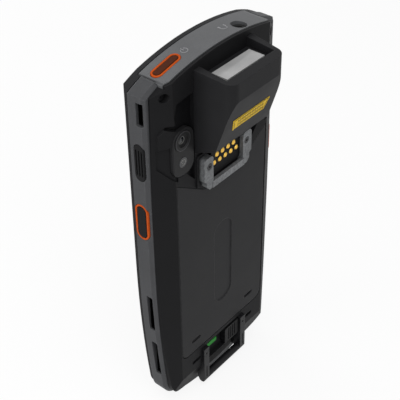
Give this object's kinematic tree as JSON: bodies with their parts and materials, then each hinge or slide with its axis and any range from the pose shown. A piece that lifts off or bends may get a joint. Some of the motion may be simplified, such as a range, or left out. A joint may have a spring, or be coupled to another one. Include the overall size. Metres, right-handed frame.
{
  "type": "portable barcode data terminal",
  "caption": "Rugged handheld data terminal with a scanner hood on its back, side scan keys, grip contacts, camera, latched battery and a lower strap loop.",
  "frame": {"origin": "centre of the lower end, midway between the display glass and the hood's outer face", "axes": "+Z from the lower end to the top end, the display faces -Y, the back with the scanner hood faces +Y"},
  "size_m": [0.075, 0.0326, 0.168],
  "materials": {
    "bezel": "fine matt",
    "glass": "polished",
    "screen": "smooth",
    "rail": "fine matt",
    "cap": "fine matt",
    "chassis": "die cast",
    "housing": "fine texture",
    "hood": "fine texture",
    "cover": "fine texture",
    "island": "satin",
    "lens": "polished",
    "scan_glass": "polished",
    "label": "satin film",
    "black_steel": "black oxide",
    "bare_steel": "plain",
    "bracket": "satin",
    "gold": "plated",
    "block": "satin",
    "key": "satin",
    "orange": "satin",
    "latch": "satin",
    "flag": "satin",
    "loop": "satin black",
    "seal": "soft",
    "antenna": "film",
    "pack": "wrapped in smooth film",
    "board": "smooth",
    "module": "satin",
    "mesh": "woven"
  },
  "bodies": {
    "terminal": {"front_bezel": "bezel", "display_glass": "glass", "display_module": "screen", "earpiece": "mesh", "front_camera": "module", "side_rail_right": "rail", "side_rail_left": "rail", "top_cap": "cap", "bottom_cap": "cap", "mid_chassis": "chassis", "rear_housing": "housing", "rear_screws": "black_steel", "scanner_hood": "hood", "label_inlay": "label", "scan_window": "scan_glass", "window_gasket": "seal", "scan_engine": "module", "scan_lenses": "lens", "contact_block": "block", "pogo_pins": "gold", "grip_bracket": "bracket", "bracket_screws": "bare_steel", "camera_island": "island", "camera_ring": "island", "camera_lens": "lens", "camera_module": "module", "flash_lens": "lens", "battery_connector": "module", "latch_flag": "flag", "strap_loop": "loop", "loop_screws": "black_steel", "scan_ring_right": "orange", "scan_ring_left": "orange", "power_ring": "orange", "key_switches": "bare_steel", "headphone_jack": "module", "usb_port": "bare_steel", "main_board": "board", "board_shields": "bare_steel", "lower_board": "board", "loudspeaker": "module"},
    "volume": {"volume_key": "key"},
    "scan_right": {"scan_key_right": "key"},
    "scan_left": {"scan_key_left": "key"},
    "talk": {"talk_key": "key"},
    "power": {"power_key": "key"},
    "latch": {"battery_latch": "latch", "latch_tongue": "bare_steel"},
    "battery": {"battery_cover": "cover", "cover_hook": "cover", "cover_seal": "seal", "nfc_antenna": "antenna", "battery_pack": "pack"}
  },
  "joints": [
    {"name": "volume_rock", "type": "hinge", "parent": "terminal", "child": "volume", "pos_m": [0.03545, -0.0079, 0.133], "axis": [0, 1, 0], "range_deg": [-2, 2], "stiffness_Nm_per_rad": 0.03},
    {"name": "scan_right_press", "type": "slide", "parent": "terminal", "child": "scan_right", "axis": [-1, 0, 0], "range_m": [0, 0.0004], "stiffness_N_per_m": 1200},
    {"name": "scan_left_press", "type": "slide", "parent": "terminal", "child": "scan_left", "axis": [1, 0, 0], "range_m": [0, 0.0004], "stiffness_N_per_m": 1200},
    {"name": "talk_press", "type": "slide", "parent": "terminal", "child": "talk", "axis": [1, 0, 0], "range_m": [0, 0.0004], "stiffness_N_per_m": 1200},
    {"name": "power_press", "type": "slide", "parent": "terminal", "child": "power", "axis": [-0.1946, 0, -0.9809], "range_m": [0, 0.0004], "stiffness_N_per_m": 1200},
    {"name": "latch_slide", "type": "slide", "parent": "terminal", "child": "latch", "axis": [1, 0, 0], "range_m": [0, 0.0106]},
    {"name": "battery_lift", "type": "slide", "parent": "terminal", "child": "battery", "axis": [0, 1, 0], "range_m": [0, 0.025]}
  ]
}
